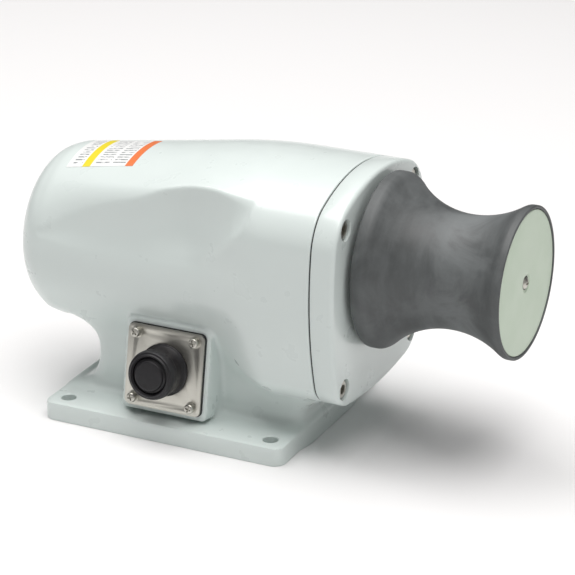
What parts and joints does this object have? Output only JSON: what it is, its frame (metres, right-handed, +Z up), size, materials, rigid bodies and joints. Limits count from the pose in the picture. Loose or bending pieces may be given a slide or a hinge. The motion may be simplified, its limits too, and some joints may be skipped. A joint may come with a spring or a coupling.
{
  "type": "anchor windlass",
  "caption": "Electric anchor windlass with a horizontal warping drum, cast gear housing, sealed motor and gear train, side push-button and bolt-down base.",
  "frame": {"origin": "centre of the four mounting bolt holes, on the underside of the base", "axes": "+X along the drum shaft towards the drum's outer end, +Z up from the deck, +Y away from the switch side"},
  "size_m": [0.3435, 0.1598, 0.1847],
  "materials": {
    "white_paint": "cast aluminium with a gloss off-white powder coat",
    "drum_coat": "cast aluminium with a matte dark grey hard coat, slightly mottled",
    "end_disc": "pale satin disc",
    "stainless": "brushed stainless steel",
    "black_rubber": "matte black rubber",
    "black_plastic": "moulded black plastic",
    "bare_aluminium": "machined aluminium",
    "gear_steel": "machined and hardened steel, lightly oiled",
    "bearing_steel": "ground and polished bearing steel",
    "black_steel": "black oxide steel",
    "magnet": "sintered ferrite",
    "lamination_steel": "stacked electrical steel sheets",
    "copper": "enamelled copper wire",
    "brass": "stamped brass",
    "graphite": "pressed carbon",
    "label_film": "printed film with plain colour bands and no lettering"
  },
  "bodies": {
    "frame": {"housing": "white_paint", "front_cover": "white_paint", "cover_gasket": "black_rubber", "cover_bolts": "stainless", "cover_dowels": "stainless", "center_plate": "bare_aluminium", "center_plate_bolts": "black_steel", "motor_plate": "bare_aluminium", "motor_plate_bolts": "black_steel", "output_bearing_outer_races": "bearing_steel", "layshaft_bearing_outer_races": "bearing_steel", "motor_bearing_outer_races": "bearing_steel", "bearing_balls": "bearing_steel", "oil_seal": "black_rubber", "motor_can": "black_steel", "motor_magnets": "magnet", "motor_front_bell": "bare_aluminium", "motor_rear_bell": "bare_aluminium", "motor_face_screws": "black_steel", "brush_holders": "brass", "brushes": "graphite", "brush_springs": "bearing_steel", "bottom_cover": "stainless", "bottom_gasket": "black_rubber", "bottom_cover_screws": "stainless", "cable_grommet": "black_rubber", "switch_gasket": "black_rubber", "switch_plate": "stainless", "switch_plate_screws": "stainless", "switch_collar": "black_rubber", "switch_body": "black_plastic", "switch_terminals": "brass", "switch_nut": "bearing_steel", "switch_spring": "bearing_steel", "label": "label_film"},
    "drum": {"drum": "drum_coat", "drum_cap": "end_disc", "drum_cap_screw": "stainless", "drum_key": "bearing_steel", "drum_washer": "stainless", "drum_nut": "stainless", "output_shaft": "gear_steel", "output_inner_races": "bearing_steel", "seal_sleeve": "bearing_steel", "gear_spacer": "bearing_steel", "output_gear": "gear_steel", "gear_key": "bearing_steel"},
    "layshaft": {"layshaft": "gear_steel", "layshaft_gear": "gear_steel", "layshaft_key": "bearing_steel", "layshaft_inner_races": "bearing_steel"},
    "motor_rotor": {"rotor_shaft": "gear_steel", "armature_core": "lamination_steel", "armature_windings": "copper", "commutator": "copper", "motor_pinion": "gear_steel", "motor_inner_races": "bearing_steel"},
    "button": {"push_button": "black_rubber", "button_plunger": "black_plastic"}
  },
  "joints": [
    {"name": "drum_spin", "type": "hinge", "parent": "frame", "child": "drum", "pos_m": [0, 0, 0.1244], "axis": [1, 0, 0], "continuous": true},
    {"name": "layshaft_spin", "type": "hinge", "parent": "frame", "child": "layshaft", "pos_m": [0, 0, 0.0644], "axis": [1, 0, 0], "continuous": true},
    {"name": "motor_spin", "type": "hinge", "parent": "frame", "child": "motor_rotor", "pos_m": [0, 0, 0.10865], "axis": [1, 0, 0], "continuous": true},
    {"name": "button_press", "type": "slide", "parent": "frame", "child": "button", "axis": [0, 0.9848, -0.1736], "range_m": [0, 0.004], "stiffness_N_per_m": 500, "springref_m": -0.002, "deforming": ["switch_spring"]}
  ],
  "couplings": [
    {"joint": "layshaft_spin", "follows": "drum_spin", "ratio": -4},
    {"joint": "motor_spin", "follows": "drum_spin", "ratio": 17.455}
  ]
}
